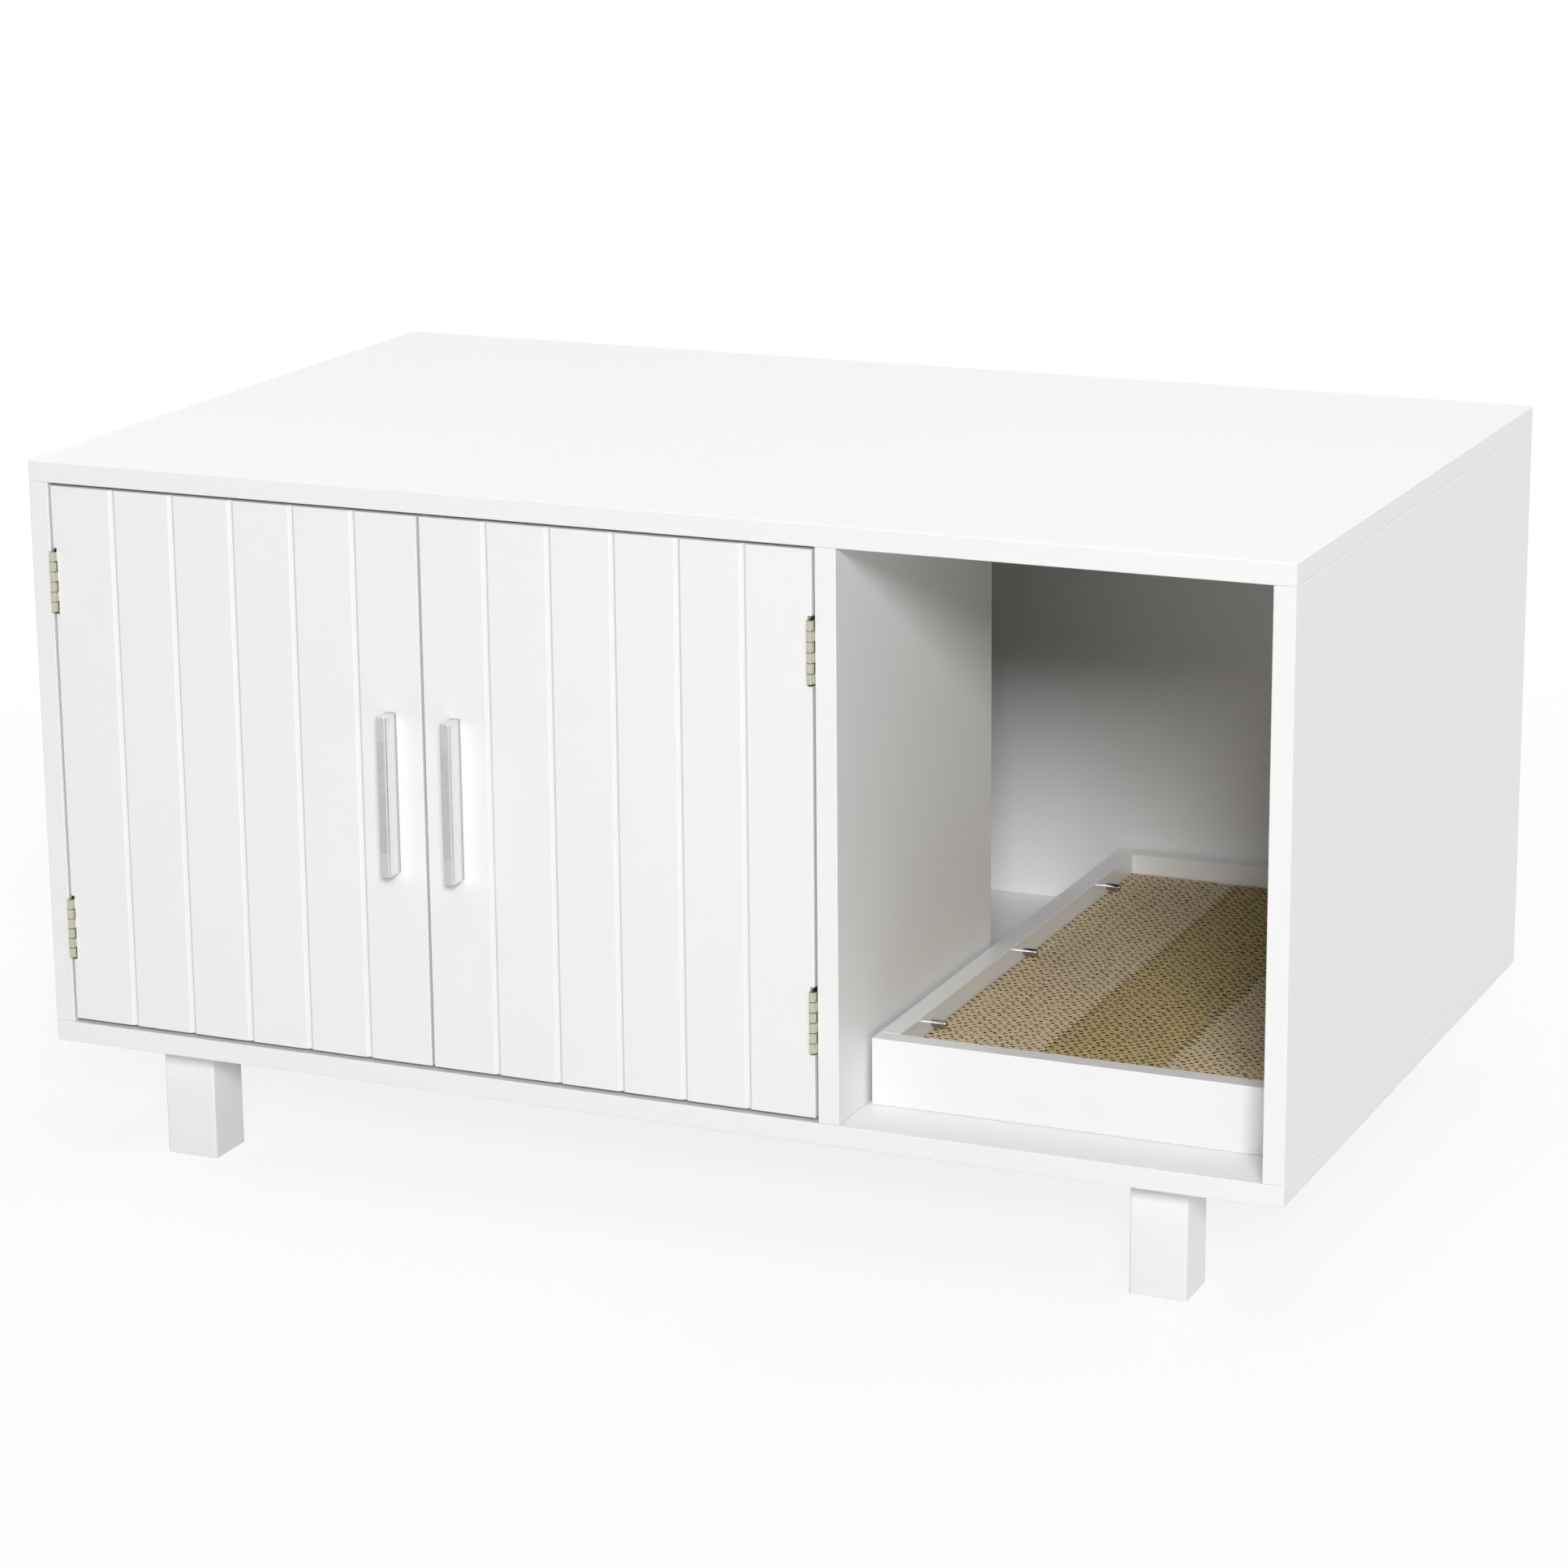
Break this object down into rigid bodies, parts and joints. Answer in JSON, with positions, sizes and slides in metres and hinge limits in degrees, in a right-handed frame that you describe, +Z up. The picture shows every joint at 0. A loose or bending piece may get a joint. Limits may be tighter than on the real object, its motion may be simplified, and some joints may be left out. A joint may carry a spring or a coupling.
{
  "type": "litter box enclosure",
  "caption": "Low white cabinet that hides a litter pan, with grooved doors on butt hinges, bar handles, an open side cubby holding a corrugated scratching tray, and square legs.",
  "frame": {"origin": "on the floor, under the middle of the whole box with its door handles", "axes": "+X to the right along the front, +Y from the doors to the back panel, +Z up"},
  "size_m": [0.92, 0.586, 0.508],
  "materials": {
    "carcass_lacquer": "satin white lacquer on fibreboard",
    "door_lacquer": "satin white lacquer on grooved fibreboard",
    "leg_lacquer": "satin white lacquer on solid wood",
    "tray_lacquer": "half gloss white lacquer on fibreboard",
    "corrugated_board": "raw brown corrugated board, cut edges up",
    "tray_base_board": "thin painted hardboard",
    "peg_steel": "polished steel",
    "dowel_wood": "bare beech",
    "hinge_nickel": "pale satin nickel plate",
    "handle_bar_brushed": "brushed, fine grain",
    "handle_bracket_satin": "smooth satin",
    "cam_zinc": "die-cast zinc",
    "zinc_steel": "bright zinc plate",
    "catch_plastic": "moulded white plastic",
    "magnet_ferrite": "sintered ferrite"
  },
  "bodies": {
    "cabinet": {"back_panel": "carcass_lacquer", "bottom_panel": "carcass_lacquer", "cam_bolts": "cam_zinc", "cam_discs": "cam_zinc", "carcass_dowels": "dowel_wood", "catch_housing": "catch_plastic", "catch_magnets": "magnet_ferrite", "catch_screws": "zinc_steel", "divider_panel": "carcass_lacquer", "frame_hinge_screws": "zinc_steel", "left_lower_hinge_frame_leaf": "hinge_nickel", "left_lower_hinge_pin": "hinge_nickel", "left_side_panel": "carcass_lacquer", "left_upper_hinge_frame_leaf": "hinge_nickel", "left_upper_hinge_pin": "hinge_nickel", "leg_front_left": "leg_lacquer", "leg_front_right": "leg_lacquer", "leg_hanger_bolts": "zinc_steel", "leg_insert_nuts": "zinc_steel", "leg_rear_left": "leg_lacquer", "leg_rear_right": "leg_lacquer", "right_lower_hinge_frame_leaf": "hinge_nickel", "right_lower_hinge_pin": "hinge_nickel", "right_side_panel": "carcass_lacquer", "right_upper_hinge_frame_leaf": "hinge_nickel", "right_upper_hinge_pin": "hinge_nickel", "top_panel": "carcass_lacquer"},
    "left_door": {"left_door_hinge_screws": "zinc_steel", "left_door_panel": "door_lacquer", "left_handle_bar": "handle_bar_brushed", "left_handle_lower_bracket": "handle_bracket_satin", "left_handle_screws": "zinc_steel", "left_handle_upper_bracket": "handle_bracket_satin", "left_lower_hinge_door_leaf": "hinge_nickel", "left_strike_plate": "zinc_steel", "left_strike_screw": "zinc_steel", "left_upper_hinge_door_leaf": "hinge_nickel"},
    "right_door": {"right_door_hinge_screws": "zinc_steel", "right_door_panel": "door_lacquer", "right_handle_bar": "handle_bar_brushed", "right_handle_lower_bracket": "handle_bracket_satin", "right_handle_screws": "zinc_steel", "right_handle_upper_bracket": "handle_bracket_satin", "right_lower_hinge_door_leaf": "hinge_nickel", "right_strike_plate": "zinc_steel", "right_strike_screw": "zinc_steel", "right_upper_hinge_door_leaf": "hinge_nickel"},
    "scratch_tray": {"scratch_pad_1": "corrugated_board", "scratch_pad_2": "corrugated_board", "scratch_pad_3": "corrugated_board", "tray_base": "tray_base_board", "tray_dowels": "dowel_wood", "tray_front_rail": "tray_lacquer", "tray_left_pegs": "peg_steel", "tray_left_rail": "tray_lacquer", "tray_rear_rail": "tray_lacquer", "tray_right_pegs": "peg_steel", "tray_right_rail": "tray_lacquer"}
  },
  "joints": [
    {"name": "left_door_hinge", "type": "hinge", "parent": "cabinet", "child": "left_door", "pos_m": [-0.4425, -0.2788, 0.29675], "axis": [0, 0, -1], "range_deg": [0, 175]},
    {"name": "right_door_hinge", "type": "hinge", "parent": "cabinet", "child": "right_door", "pos_m": [0.1325, -0.2788, 0.29675], "axis": [0, 0, 1], "range_deg": [0, 90]},
    {"name": "tray_slide", "type": "slide", "parent": "cabinet", "child": "scratch_tray", "axis": [0, -1, 0], "range_m": [0, 0.28]}
  ]
}
